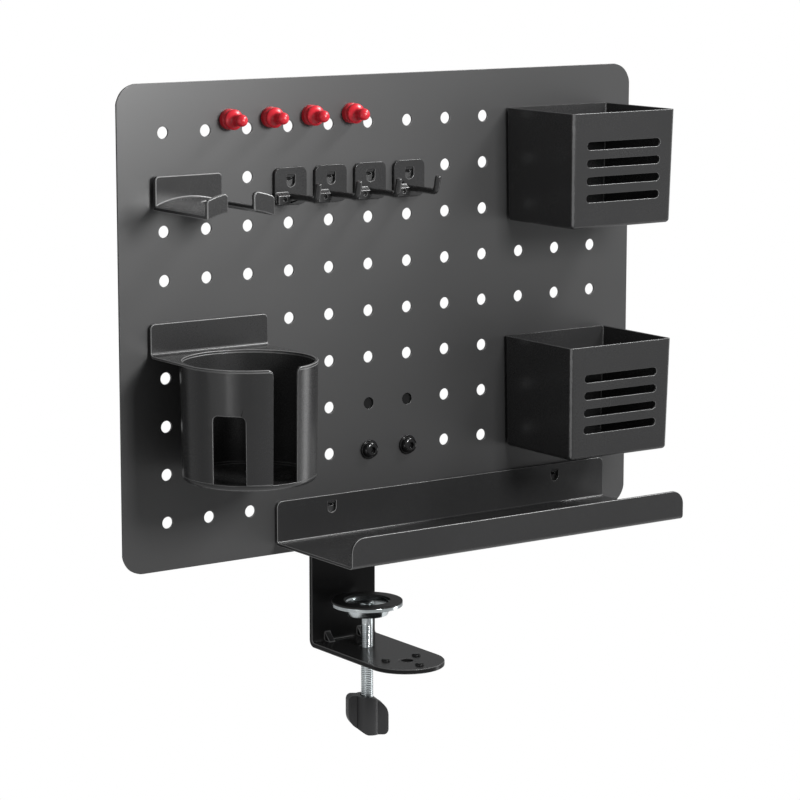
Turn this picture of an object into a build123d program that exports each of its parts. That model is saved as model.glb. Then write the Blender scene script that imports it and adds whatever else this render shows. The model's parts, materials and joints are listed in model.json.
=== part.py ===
from build123d import *
import os
from math import cos, radians, sin

os.makedirs("parts", exist_ok=True)

# A perforated steel board that clamps to the edge of a desk, with bins, a cup holder,
# hooks, a headphone hanger, a tray and push-pin magnets hung on it. Millimetres.
# Origin: middle of the face that rests on the desk top, under the foam of the upper jaw.
# +X runs to the right along the board, +Y to the back, +Z up.
# Most sizes below are counted from the middle of the board's hole grid: x to the right,
# z up, and y back from the board's front face, so what stands in front has y below 0.
board_front = -28.0
grid_z = 159.0

# board
pitch = 30.0
columns = 12
rows = 9
hole_r = 3.75
board_w = 394.0
board_h = 300.0
board_t = 1.5
board_corner = 14.0

# clamp bracket, one bent strip
strip_w = 50.8
strip_t = 3.2
strip_top = -46.0
upper_jaw_under = -157.0
lower_jaw_top = -227.4
rear_inner_y = 51.5
bend_mid_r = 3.4
nose_y = -20.0
jaw_hole_r = 4.6
spare_hole_r = 5.6
dart_x = 13.0
dart_leg = 6.0
dart_w = 4.6
foam_t = 2.0
foam_w = 44.0
foam_l = 40.0
foam_y = 28.0
foam_corner = 3.0
strip_top_corner = 4.0
dart_root = 1.0

# clamp screw and what it carries
screw_y = 24.0
spare_y = -22.0
thread_r = 4.0
fit_gap = 0.05
press_gap = 0.02
pad_top = -196.2
pad_r = 23.5
rubber_t = 1.2
rubber_inner_r = 15.4
rubber_round = 0.5
flange_t = 2.3
dish_deep = 1.2
dish_r = 14.4
dish_slope = 1.0
hub_h = 6.2
hub_top_r = 16.5
hub_low_r = 13.5
neck_r = 3.0
peen_r = 5.2
peen_h = 1.4
peen_slope = 1.0
socket_deep = 3.6
knob_half_w = 13.4
knob_top = -260.0
knob_low = -287.4
knob_drop = 8.9
knob_hub_top = -265.0
knob_hub_r = 8.2
knob_wing_t = 8.6
knob_twist = 1.3
knob_turn = -20.0
knob_sag = 1.0
knob_sag_x = 2.0
knob_rounds = [3.5, 6.0, 11.0, 3.5, 6.0, 11.0]
knob_recess_r = 4.7
screw_in_knob = 4.0
weld_nut_flats = 13.0
weld_nut_h = 6.5
flange_nut_r = 16.6
flange_nut_t = 1.5
flange_nut_h = 3.9
rivet_ring_r = 13.9
rivet_r = 2.9
rivet_hole_r = 1.5
rivet_start_deg = 30.0
rivet_h = 1.4
rivet_round = 1.3

# board screws
board_screws = [(-15.0, -90.0), (15.0, -90.0)]
shank_r = 3.0
screw_hole_r = 3.3
washer_r = 6.25
washer_t = 1.6
washer_hole_r = 3.2
washer_round = 0.4
head_r = 5.25
head_h = 3.3
head_round = 2.2
socket_flats = 4.0
socket_depth = 2.0
nut_flats = 10.0
nut_t = 5.0
shank_past_nut = 1.5

# sheet-metal accessories and the tongues that hook into the holes
sheet_t = 2.0
sheet_gap = 0.6
tongue_w = 6.0
tongue_t = 1.6
tongue_drop = 1.3
tongue_back_y = 2.6
tongue_tip = 6.6
tongue_bend_r = 0.9
tongue_end_flat = 0.2
lance_up = 1.2
lance_in = 0.7
slot_w = 6.3
slot_up = 0.2
slot_low = 7.4

# hooks
hook_xs = [-75.0, -45.0, -15.0, 15.0]
hook_row_z = 90.0
hook_w = 23.5
hook_top = 94.7
hook_low = 71.4
hook_corner = 4.3
hook_rod_r = 2.0
hook_rod_z = 76.8
hook_reach_y = -31.6
hook_tip = (-34.0, 87.0)
hook_bend_r = 3.6
hook_plate_round = 0.3
hook_rod_round = 0.9
boss_y = -5.4
boss_left = 10.8
boss_right = 2.05
boss_low = 72.0
boss_step = 77.3
boss_top = 79.8
boss_hole_r = 1.35
boss_hole_at = (-6.0, 75.2)
boss_hole_depth = 2.0
boss_sink = 0.5

# headphone hanger
hanger_x = -150.0
hanger_w = 47.0
hanger_t = 3.0
hanger_back_y = -2.0
hanger_top = 94.4
hanger_front_y = -64.5
saddle_edge = 76.3
saddle_crest = 81.0
lip_edge = 84.8
lip_crest = 89.4
hanger_slot_w = 18.0
hanger_slot_end_y = -37.0
hanger_corner = 2.6
hanger_low = 56.3
hanger_pegs = [(-165.0, 90.0), (-135.0, 90.0)]

# cup holder
cup_x = -135.0
cup_y = -47.5
cup_ring_r = 42.0
cup_inner_r = 40.3
cup_wall_r = 41.8
cup_low_r = 40.8
cup_wall_t = 1.5
cup_rim = -14.8
cup_plate_t = 1.5
cup_low = -88.0
cup_floor_t = 2.0
cup_floor_round = 3.2
cup_dish_h = 3.6
cup_bend_mid_r = 3.0
cup_handle_corner = 3.6
cup_flange_top = 4.6
cup_flange_front = -3.0
cup_flange_corner = 3.0
cup_handle_w = 17.0
cup_window_w = 20.4
cup_window_top = -42.8
cup_window_turn = -49.5
cup_window_corner = 3.5
cup_pegs = [(-165.0, 0.0), (-105.0, 0.0)]

# bins
bin_x = 135.0
bin_rims = {"upper_bin": 124.5, "lower_bin": -25.5}
bin_rows = {"upper_bin": 120.0, "lower_bin": -30.0}
bin_w = 83.7
bin_back_y = -1.0
bin_front_y = -71.5
bin_h = 73.7
bin_t = 1.5
bin_draft = 1.5
bin_corner = 2.6
bin_slot_l = 60.0
bin_slot_h = 5.2
bin_slot_first = 20.9
bin_slot_step = 11.2
bin_slots = 4
bin_hook_xs = [105.0, 165.0]

# tray
tray_x = 45.0
tray_w = 263.0
tray_t = 1.8
tray_top = -115.8
tray_floor_under = -144.1
tray_front_y = -86.6
tray_lip_top = -124.7
tray_bend_mid_r = 2.0
tray_back_corner = 4.0
tray_lip_corner = 9.0
tray_hook_xs = [-45.0, 135.0]
tray_row_z = -120.0

# push-pin magnets
magnet_xs = [-118.6, -88.8, -59.0, -28.8]
magnet_z = 126.2
magnet_r = 6.4
magnet_waist_r = 5.5
magnet_neck_r = 3.2
magnet_skirt_l = 3.5
magnet_waist_l = 0.8
magnet_flare_l = 0.4
magnet_band_l = 2.0
magnet_band_r = 6.3
magnet_shoulder_r = 5.5
magnet_shoulder_l = 1.1
magnet_cone_l = 1.3
magnet_cone_r = 3.7
magnet_neck_l = 1.0
magnet_ball_r = 3.8
magnet_l = 19.0
disc_r = 5.0
disc_t = 2.0


cutter_past = 5.0  # how far a cutter reaches past what it cuts


def front_plane(y=0.0):
    # parallel to the board, y behind its front face; x right, y up, normal to the viewer
    return Plane(origin=(0, board_front + y, grid_z), x_dir=(1, 0, 0), z_dir=(0, -1, 0))


def side_plane(x=0.0):
    # square to the board; its x is y back from the front face, its y is z up
    return Plane(origin=(x, board_front, grid_z), x_dir=(0, 1, 0), z_dir=(1, 0, 0))


def level_plane(z):
    return Plane(origin=(0, board_front, grid_z + z), x_dir=(1, 0, 0), z_dir=(0, 0, 1))


def upright_axis(x, y):
    return Axis((x, board_front + y, 0), (0, 0, 1))


def keep(piece, label):
    piece.label = label
    export_step(piece, f"parts/{label}.step")


def bent_strip(x, points, bend_r, thick, width):
    # a strip of sheet that follows a bent line in the side plane, centred on x
    with BuildPart() as strip:
        with BuildSketch(side_plane(x)):
            with BuildLine():
                FilletPolyline(*points, radius=bend_r)
            trace(line_width=thick)
        extrude(amount=width / 2, both=True)
    return strip.part


def tongue(x, z, root_y, lanced):
    # drops through a hole of the board and hooks down behind it, with a rounded tip
    run_z = z - tongue_drop
    start = [(root_y, z + lance_up), (root_y + lance_in, run_z)] if lanced else [(root_y, run_z)]
    points = start + [(tongue_back_y, run_z), (tongue_back_y, z - tongue_tip)]
    strip = bent_strip(x, points, tongue_bend_r, tongue_t, tongue_w)
    with BuildPart() as hooked:
        add(strip)
        tip = hooked.edges().filter_by(Axis.Y).group_by(Axis.Z)[0]
        fillet(tip, tongue_w / 2 - tongue_end_flat)
    return hooked.part


def tongue_slots(spots):
    # the openings that the tongues are lanced from: flat at the top, round below
    with BuildPart() as slots:
        with BuildSketch(front_plane(board_t / 2)):
            for x, z in spots:
                high = z + slot_up
                round_z = z - slot_low + slot_w / 2
                with Locations((x, (high + round_z) / 2)):
                    Rectangle(slot_w, high - round_z)
                with Locations((x, round_z)):
                    Circle(slot_w / 2)
        extrude(amount=cutter_past)
    return slots.part


def pegboard_panel():
    with BuildPart() as panel:
        with BuildSketch(front_plane()):
            RectangleRounded(board_w, board_h, board_corner)
            with GridLocations(pitch, pitch, columns, rows):
                Circle(hole_r, mode=Mode.SUBTRACT)
        extrude(amount=-board_t)
    keep(panel.part, "pegboard_panel")


def clamp_bracket():
    front_mid_y = board_t + strip_t / 2
    upper_mid_z = upper_jaw_under + strip_t / 2
    rear_mid_y = rear_inner_y + strip_t / 2
    lower_mid_z = lower_jaw_top - strip_t / 2
    bends = [
        (front_mid_y, strip_top),
        (front_mid_y, upper_mid_z),
        (rear_mid_y, upper_mid_z),
        (rear_mid_y, lower_mid_z),
        (nose_y, lower_mid_z),
    ]
    strip = bent_strip(0, bends, bend_mid_r, strip_t, strip_w)
    foot_y = rear_inner_y - dart_leg
    with BuildPart() as bracket:
        add(strip)
        with BuildSketch(level_plane(lower_jaw_top)):
            with Locations((0, nose_y)):
                Circle(strip_w / 2)
        extrude(amount=-strip_t)
        for x in (-dart_x, dart_x):
            with BuildSketch(side_plane(x)):
                with BuildLine():
                    Polyline(
                        (rear_inner_y + dart_root, lower_jaw_top - dart_root),
                        (foot_y, lower_jaw_top - dart_root),
                        (foot_y, lower_jaw_top),
                        (rear_inner_y, lower_jaw_top + dart_leg),
                        (rear_inner_y + dart_root, lower_jaw_top + dart_leg),
                        close=True,
                    )
                make_face()
            extrude(amount=dart_w / 2, both=True)
        with BuildSketch(level_plane(lower_jaw_top)):
            with Locations((0, screw_y)):
                Circle(jaw_hole_r)
            with Locations((0, spare_y)):
                Circle(spare_hole_r)
                with PolarLocations(rivet_ring_r, 3, start_angle=rivet_start_deg):
                    Circle(rivet_hole_r + fit_gap)
        extrude(amount=-strip_t, mode=Mode.SUBTRACT)
        with BuildSketch(front_plane(board_t)):
            with Locations(*board_screws):
                Circle(screw_hole_r)
        extrude(amount=-strip_t, mode=Mode.SUBTRACT)
        top = bracket.edges().filter_by(Axis.Y).group_by(Axis.Z)[-1]
        fillet(top, strip_top_corner)
    keep(bracket.part, "clamp_bracket")


def desk_pad():
    with BuildPart() as foam:
        with BuildSketch(level_plane(upper_jaw_under)):
            with Locations((0, foam_y)):
                RectangleRounded(foam_w, foam_l, foam_corner)
        extrude(amount=-foam_t)
    keep(foam.part, "desk_pad")


def clamp_weld_nut():
    with BuildPart() as nut:
        with BuildSketch(level_plane(lower_jaw_top - strip_t)):
            with Locations((0, screw_y)):
                RegularPolygon(weld_nut_flats / 2, 6, major_radius=False)
                Circle(thread_r + fit_gap, mode=Mode.SUBTRACT)
        extrude(amount=-weld_nut_h)
    keep(nut.part, "clamp_weld_nut")


def spare_flange_nut():
    under = lower_jaw_top - strip_t
    with BuildPart() as nut:
        with BuildSketch(level_plane(under)):
            with Locations((0, spare_y)):
                Circle(flange_nut_r)
        extrude(amount=-flange_nut_t)
        with BuildSketch(level_plane(under - flange_nut_h)):
            with Locations((0, spare_y)):
                Circle(spare_hole_r - fit_gap)
        extrude(amount=flange_nut_h + strip_t)
        with BuildSketch(level_plane(under)):
            with Locations((0, spare_y)):
                with PolarLocations(rivet_ring_r, 3, start_angle=rivet_start_deg):
                    Circle(rivet_hole_r)
        extrude(amount=strip_t)
        with BuildSketch(level_plane(lower_jaw_top)):
            with Locations((0, spare_y)):
                with PolarLocations(rivet_ring_r, 3, start_angle=rivet_start_deg):
                    Circle(rivet_r)
        extrude(amount=rivet_h)
        domes = nut.edges().filter_by(GeomType.CIRCLE).group_by(Axis.Z)[-1]
        fillet(domes, rivet_round)
        with BuildSketch(level_plane(lower_jaw_top)):
            with Locations((0, spare_y)):
                Circle(thread_r)
        extrude(amount=-(strip_t + flange_nut_h), mode=Mode.SUBTRACT)
    keep(nut.part, "spare_flange_nut")


def board_fasteners():
    with BuildPart() as washers:
        with BuildSketch(front_plane()):
            with Locations(*board_screws):
                Circle(washer_r)
                Circle(washer_hole_r, mode=Mode.SUBTRACT)
        extrude(amount=washer_t)
        rims = washers.edges().filter_by(GeomType.CIRCLE).group_by(Axis.Y)[0].group_by(SortBy.RADIUS)[-1]
        fillet(rims, washer_round)
    keep(washers.part, "board_washers")

    shank_l = board_t + strip_t + nut_t + shank_past_nut
    with BuildPart() as screws:
        with BuildSketch(front_plane(-washer_t)):
            with Locations(*board_screws):
                Circle(head_r)
        extrude(amount=head_h)
        fillet(screws.edges().filter_by(GeomType.CIRCLE).group_by(Axis.Y)[0], head_round)
        with BuildSketch(front_plane(-washer_t - head_h)):
            with Locations(*board_screws):
                RegularPolygon(socket_flats / 2, 6, major_radius=False)
        extrude(amount=-socket_depth, mode=Mode.SUBTRACT)
        with BuildSketch(front_plane(-washer_t)):
            with Locations(*board_screws):
                Circle(shank_r)
        extrude(amount=-(washer_t + shank_l))
    keep(screws.part, "board_screws")

    with BuildPart() as nuts:
        with BuildSketch(front_plane(board_t + strip_t)):
            with Locations(*board_screws):
                RegularPolygon(nut_flats / 2, 6, major_radius=False)
                Circle(shank_r + press_gap, mode=Mode.SUBTRACT)
        extrude(amount=-nut_t)
    keep(nuts.part, "board_nuts")


def clamp_pad():
    flange_top = pad_top - rubber_t
    flange_low = flange_top - flange_t
    hub_low = flange_low - hub_h
    dish_z = flange_top - dish_deep
    shoulder_z = hub_low + socket_deep
    with BuildPart() as rubber:
        with BuildSketch(level_plane(pad_top)):
            with Locations((0, screw_y)):
                Circle(pad_r)
                Circle(rubber_inner_r, mode=Mode.SUBTRACT)
        extrude(amount=-rubber_t)
        rim = rubber.edges().filter_by(GeomType.CIRCLE).group_by(Axis.Z)[-1].sort_by(SortBy.RADIUS)[-1]
        fillet(rim, rubber_round)
    keep(rubber.part, "pad_ring")

    with BuildPart() as cup:
        with BuildSketch(front_plane(screw_y)):
            with BuildLine():
                Polyline(
                    (neck_r + fit_gap, dish_z),
                    (dish_r - dish_slope, dish_z),
                    (dish_r, flange_top),
                    (pad_r, flange_top),
                    (pad_r, flange_low),
                    (hub_top_r, flange_low),
                    (hub_low_r, hub_low),
                    (thread_r + fit_gap, hub_low),
                    (thread_r + fit_gap, shoulder_z),
                    (neck_r + fit_gap, shoulder_z),
                    close=True,
                )
            make_face()
        revolve(axis=upright_axis(0, screw_y))
    keep(cup.part, "pad_cup")

    head_low = dish_z + fit_gap
    with BuildPart() as screw:
        with BuildSketch(front_plane(screw_y)):
            with BuildLine():
                Polyline(
                    (0, knob_low + screw_in_knob),
                    (thread_r, knob_low + screw_in_knob),
                    (thread_r, shoulder_z - fit_gap),
                    (neck_r, shoulder_z - fit_gap),
                    (neck_r, head_low),
                    (peen_r, head_low),
                    (peen_r - peen_slope, head_low + peen_h),
                    (0, head_low + peen_h),
                    close=True,
                )
            make_face()
        revolve(axis=upright_axis(0, screw_y))
    keep(screw.part, "clamp_screw")


def knob():
    turn = radians(knob_turn)
    wing_dir = (cos(turn), sin(turn), 0)
    low = Plane(origin=(0, board_front + screw_y, grid_z + knob_low), x_dir=wing_dir, z_dir=(0, 0, 1))
    face_dir = (sin(turn), -cos(turn), 0)
    wing_plane = Plane(origin=(0, board_front + screw_y, grid_z), x_dir=wing_dir, z_dir=face_dir)
    wing_l = 2 * knob_half_w
    with BuildPart() as grip:
        with BuildSketch(low):
            Circle(knob_hub_r)
            with Locations((-wing_l / 4, knob_twist), (wing_l / 4, -knob_twist)):
                SlotOverall(wing_l / 2 + knob_wing_t / 2, knob_wing_t)
        extrude(amount=knob_top - knob_low)
        with BuildSketch(wing_plane):
            with BuildLine():
                FilletPolyline(
                    (-knob_half_w, knob_top),
                    (knob_sag_x, knob_top - knob_sag),
                    (knob_half_w, knob_top - knob_drop),
                    (knob_half_w, knob_low),
                    (-knob_sag_x, knob_low + knob_sag),
                    (-knob_half_w, knob_low + knob_drop),
                    close=True,
                    radius=knob_rounds,
                )
            make_face()
        extrude(amount=knob_half_w, both=True, mode=Mode.INTERSECT)
        with BuildSketch(level_plane(knob_hub_top)):
            with Locations((0, screw_y)):
                Circle(knob_recess_r)
        extrude(amount=knob_top - knob_hub_top, mode=Mode.SUBTRACT)
        with BuildSketch(level_plane(knob_hub_top)):
            with Locations((0, screw_y)):
                Circle(thread_r + press_gap)
        extrude(amount=-(knob_hub_top - knob_low - screw_in_knob + press_gap), mode=Mode.SUBTRACT)
    keep(grip.part, "knob")


def hook_plate(x, label):
    spot = (x, hook_row_z)
    tab = tongue(*spot, root_y=-sheet_gap - sheet_t / 2, lanced=True)
    window = tongue_slots([spot])
    face_y = -sheet_gap - sheet_t
    with BuildPart() as plate:
        with BuildSketch(front_plane(-sheet_gap)):
            with Locations((x, (hook_top + hook_low) / 2)):
                RectangleRounded(hook_w, hook_top - hook_low, hook_corner)
        extrude(amount=sheet_t)
        fillet(plate.edges().filter_by(Plane.XZ).group_by(Axis.Y)[0], hook_plate_round)
        add(window, mode=Mode.SUBTRACT)
        add(tab)
        with BuildSketch(side_plane(x - boss_left)):
            with BuildLine():
                Polyline(
                    (face_y + boss_sink, boss_low),
                    (boss_y, boss_low),
                    (boss_y, boss_step),
                    (face_y + boss_sink, boss_top),
                    close=True,
                )
            make_face()
        extrude(amount=boss_left - boss_right)
        with BuildSketch(front_plane(boss_y)):
            with Locations((x + boss_hole_at[0], boss_hole_at[1])):
                Circle(boss_hole_r)
        extrude(amount=-boss_hole_depth, mode=Mode.SUBTRACT)
    keep(plate.part, label)


def hook_rod(x, label):
    face_y = -sheet_gap - sheet_t
    with BuildPart() as rod:
        with BuildLine(side_plane(x)) as path:
            FilletPolyline((face_y, hook_rod_z), (hook_reach_y, hook_rod_z), hook_tip, radius=hook_bend_r)
        with BuildSketch(Plane(origin=path.line @ 0, z_dir=path.line % 0)):
            Circle(hook_rod_r)
        sweep()
        fillet(rod.edges().filter_by(GeomType.CIRCLE).sort_by(Axis.Z)[-1], hook_rod_round)
    keep(rod.part, label)


def arch_block(edge_z, crest_z, back_y, depth, tips_round=0.0):
    # all that lies under an arch of the hanger's width, well down past the saddle;
    # with rounded tips it is parted by the slot, as the two lips are
    left = hanger_x - hanger_w / 2
    right = hanger_x + hanger_w / 2
    with BuildPart() as block:
        with BuildSketch(front_plane(back_y)) as face:
            with BuildLine():
                ThreePointArc((left, edge_z), (hanger_x, crest_z), (right, edge_z))
                Polyline((right, edge_z), (right, hanger_low), (left, hanger_low), (left, edge_z))
            make_face()
            if tips_round:
                with Locations((hanger_x, (crest_z + hanger_low) / 2)):
                    Rectangle(hanger_slot_w, crest_z - hanger_low, mode=Mode.SUBTRACT)
                fillet(face.vertices().filter_by_position(Axis.Y, edge_z - tips_round, crest_z), tips_round)
        extrude(amount=depth)
    return block.part


def headphone_hanger():
    depth = hanger_back_y - hanger_front_y
    saddle = arch_block(saddle_edge, saddle_crest, hanger_back_y, depth)
    lips = arch_block(lip_edge, lip_crest, hanger_front_y + hanger_t, hanger_t, hanger_corner)
    under = arch_block(saddle_edge - hanger_t, saddle_crest - hanger_t, hanger_back_y + 1, depth + 2)
    with BuildPart() as hanger:
        with BuildSketch(front_plane(hanger_back_y)) as back:
            with Locations((hanger_x, (hanger_top + hanger_low) / 2)):
                Rectangle(hanger_w, hanger_top - hanger_low)
            fillet(back.vertices().group_by(Axis.Y)[-1], hanger_corner)
        extrude(amount=hanger_t)
        add(saddle)
        add(lips)
        with BuildSketch(level_plane(hanger_low)):
            with Locations((hanger_x, (hanger_slot_end_y + hanger_front_y - cutter_past) / 2)):
                Rectangle(hanger_slot_w, hanger_slot_end_y - hanger_front_y + cutter_past)
            with Locations((hanger_x, hanger_slot_end_y)):
                Circle(hanger_slot_w / 2)
        extrude(amount=hanger_top - hanger_low, mode=Mode.SUBTRACT)
        add(under, mode=Mode.SUBTRACT)
    keep(hanger.part, "headphone_hanger")

    with BuildPart() as pegs:
        for x, z in hanger_pegs:
            add(tongue(x, z, root_y=hanger_back_y, lanced=False))
    keep(pegs.part, "hanger_pegs")


def handle_cutter():
    # the mug-handle slot at the front of the cup, flared where it meets the rim
    corner_z = cup_rim - cup_handle_corner
    half = cup_handle_w / 2
    flare = half + cup_handle_corner
    with BuildPart() as cutter:
        with BuildSketch(front_plane(cup_y - cup_ring_r / 2)):
            with BuildLine():
                Polyline(
                    (cup_x + half, corner_z),
                    (cup_x + half, cup_low - cutter_past),
                    (cup_x - half, cup_low - cutter_past),
                    (cup_x - half, corner_z),
                )
                RadiusArc((cup_x - half, corner_z), (cup_x - flare, cup_rim), -cup_handle_corner)
                Polyline(
                    (cup_x - flare, cup_rim),
                    (cup_x - flare, cup_rim + cutter_past),
                    (cup_x + flare, cup_rim + cutter_past),
                    (cup_x + flare, cup_rim),
                )
                RadiusArc((cup_x + flare, cup_rim), (cup_x + half, corner_z), -cup_handle_corner)
            make_face()
        extrude(amount=cup_ring_r)
    return cutter.part


def cup_holder():
    plate_under = cup_rim - cup_plate_t
    plate_mid = cup_rim - cup_plate_t / 2
    flange_mid = cup_flange_front + cup_plate_t / 2
    bends = [(flange_mid, cup_flange_top), (flange_mid, plate_mid), (cup_y, plate_mid)]
    flange = bent_strip(cup_x, bends, cup_bend_mid_r, cup_plate_t, 2 * cup_ring_r)
    cutter = handle_cutter()
    with BuildPart() as plate:
        add(flange)
        with BuildSketch(level_plane(plate_under)):
            with Locations((cup_x, cup_y)):
                Circle(cup_ring_r)
        extrude(amount=cup_plate_t)
        with BuildSketch(level_plane(plate_under)):
            with Locations((cup_x, cup_y)):
                Circle(cup_inner_r)
        extrude(amount=cup_plate_t, mode=Mode.SUBTRACT)
        fillet(plate.edges().filter_by(Axis.Y).group_by(Axis.Z)[-1], cup_flange_corner)
        add(cutter, mode=Mode.SUBTRACT)
    keep(plate.part, "cup_plate")

    dish_top = cup_low + cup_dish_h
    window_h = cup_window_top - cup_low + cutter_past
    with BuildPart() as wall:
        with BuildSketch(front_plane(cup_y)):
            with BuildLine():
                Polyline(
                    (cup_x + cup_wall_r - cup_wall_t, plate_under),
                    (cup_x + cup_wall_r, plate_under),
                    (cup_x + cup_low_r, dish_top),
                    (cup_x + cup_low_r - cup_wall_t, dish_top),
                    close=True,
                )
            make_face()
        revolve(axis=upright_axis(cup_x, cup_y))
        add(cutter, mode=Mode.SUBTRACT)
        way = (sin(radians(cup_window_turn)), -cos(radians(cup_window_turn)), 0)
        across = (cos(radians(cup_window_turn)), sin(radians(cup_window_turn)), 0)
        centre = (cup_x, board_front + cup_y, grid_z)
        with BuildSketch(Plane(origin=centre, x_dir=across, z_dir=way)):
            with Locations((0, cup_window_top - window_h / 2)):
                RectangleRounded(cup_window_w, window_h, cup_window_corner)
        extrude(amount=cup_ring_r + cutter_past, mode=Mode.SUBTRACT)
    keep(wall.part, "cup_wall")

    with BuildPart() as dish:
        with BuildSketch(level_plane(cup_low)):
            with Locations((cup_x, cup_y)):
                Circle(cup_low_r)
        extrude(amount=cup_dish_h)
        fillet(dish.edges().group_by(Axis.Z)[0], cup_floor_round)
        with BuildSketch(level_plane(cup_low + cup_floor_t)):
            with Locations((cup_x, cup_y)):
                Circle(cup_low_r - cup_wall_t)
        extrude(amount=cup_dish_h, mode=Mode.SUBTRACT)
    keep(dish.part, "cup_floor")

    peg_root = cup_flange_front + cup_plate_t
    with BuildPart() as pegs:
        for x, z in cup_pegs:
            add(tongue(x, z, root_y=peg_root, lanced=False))
    keep(pegs.part, "cup_pegs")


def bin_block(rim, inset, floor_up):
    # the bin's outer or inner block: it narrows towards its rounded bottom
    low = rim - bin_h + floor_up
    drafts = {rim: 0.0, low: bin_draft * (rim - low) / bin_h}
    with BuildPart() as block:
        for level, draft in drafts.items():
            back = bin_back_y - inset
            front = bin_front_y + inset + draft
            with BuildSketch(level_plane(level)):
                with Locations((bin_x, (back + front) / 2)):
                    RectangleRounded(bin_w - 2 * (inset + draft), back - front, bin_corner - inset)
        loft(ruled=True)
        fillet(block.edges().group_by(Axis.Z)[0], bin_corner - inset)
    return block.part


def storage_bin(label, rim):
    spots = [(x, bin_rows[label]) for x in bin_hook_xs]
    outer = bin_block(rim, 0, 0)
    inner = bin_block(rim, bin_t, bin_t)
    tabs = [tongue(x, z, root_y=bin_back_y, lanced=False) for x, z in spots]
    with BuildPart() as shell:
        add(outer)
        add(inner, mode=Mode.SUBTRACT)
        with BuildSketch(front_plane(bin_front_y - cutter_past)):
            for row in range(bin_slots):
                with Locations((bin_x, rim - bin_slot_first - row * bin_slot_step)):
                    SlotOverall(bin_slot_l, bin_slot_h)
        extrude(amount=-(bin_t + bin_draft + 2 * cutter_past), mode=Mode.SUBTRACT)
        for tab in tabs:
            add(tab)
    keep(shell.part, label)


def shelf_tray():
    spots = [(x, tray_row_z) for x in tray_hook_xs]
    back_mid = -sheet_gap - tray_t / 2
    floor_mid = tray_floor_under + tray_t / 2
    lip_mid = tray_front_y + tray_t / 2
    bends = [(back_mid, tray_top), (back_mid, floor_mid), (lip_mid, floor_mid), (lip_mid, tray_lip_top)]
    strip = bent_strip(tray_x, bends, tray_bend_mid_r, tray_t, tray_w)
    tabs = [tongue(x, z, root_y=back_mid, lanced=True) for x, z in spots]
    windows = tongue_slots(spots)
    with BuildPart() as tray:
        add(strip)
        fillet(tray.edges().filter_by(Axis.Y).group_by(Axis.Z)[-1], tray_back_corner)
        ends = tray.edges().filter_by(Axis.Y).group_by(Axis.Y)[0]
        fillet(ends.group_by(Axis.Z)[-1], tray_lip_corner)
        add(windows, mode=Mode.SUBTRACT)
        for tab in tabs:
            add(tab)
    keep(tray.part, "shelf_tray")


def push_magnet(x, number):
    waist_y = magnet_skirt_l + magnet_flare_l
    band_y = waist_y + magnet_waist_l + magnet_flare_l
    shoulder_y = band_y + magnet_band_l + magnet_shoulder_l
    neck_y = shoulder_y + magnet_cone_l
    ball_y = magnet_l - magnet_ball_r
    meet_y = ball_y - (magnet_ball_r**2 - magnet_neck_r**2) ** 0.5
    centre = (x, board_front, grid_z + magnet_z)
    profile_plane = Plane(origin=centre, x_dir=(1, 0, 0), z_dir=(0, 0, 1))
    with BuildPart() as pin:
        with BuildSketch(profile_plane):
            with BuildLine():
                Polyline(
                    (0, -magnet_l),
                    (0, -disc_t),
                    (disc_r + fit_gap, -disc_t),
                    (disc_r + fit_gap, 0),
                    (magnet_r, 0),
                    (magnet_r, -magnet_skirt_l),
                    (magnet_waist_r, -waist_y),
                    (magnet_waist_r, -waist_y - magnet_waist_l),
                    (magnet_band_r, -band_y),
                    (magnet_band_r, -band_y - magnet_band_l),
                    (magnet_shoulder_r, -shoulder_y),
                    (magnet_cone_r, -neck_y),
                    (magnet_neck_r, -neck_y - magnet_neck_l),
                    (magnet_neck_r, -meet_y),
                )
                ThreePointArc((magnet_neck_r, -meet_y), (magnet_ball_r, -ball_y), (0, -magnet_l))
            make_face()
        revolve(axis=Axis(centre, (0, 1, 0)))
    keep(pin.part, f"magnet_grip_{number}")

    with BuildPart() as disc:
        with BuildSketch(Plane(origin=centre, x_dir=(1, 0, 0), z_dir=(0, -1, 0))):
            Circle(disc_r)
        extrude(amount=disc_t)
    keep(disc.part, f"magnet_disc_{number}")


pegboard_panel()
clamp_bracket()
desk_pad()
clamp_weld_nut()
spare_flange_nut()
board_fasteners()
clamp_pad()
knob()
for number, x in enumerate(hook_xs, start=1):
    hook_plate(x, f"hook_plate_{number}")
    hook_rod(x, f"hook_rod_{number}")
headphone_hanger()
cup_holder()
for label, rim in bin_rims.items():
    storage_bin(label, rim)
shelf_tray()
for number, x in enumerate(magnet_xs, start=1):
    push_magnet(x, number)
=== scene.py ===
import json
from math import cos, inf, pi, radians, sin

import bmesh
import bpy
from mathutils import Matrix, Vector

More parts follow.
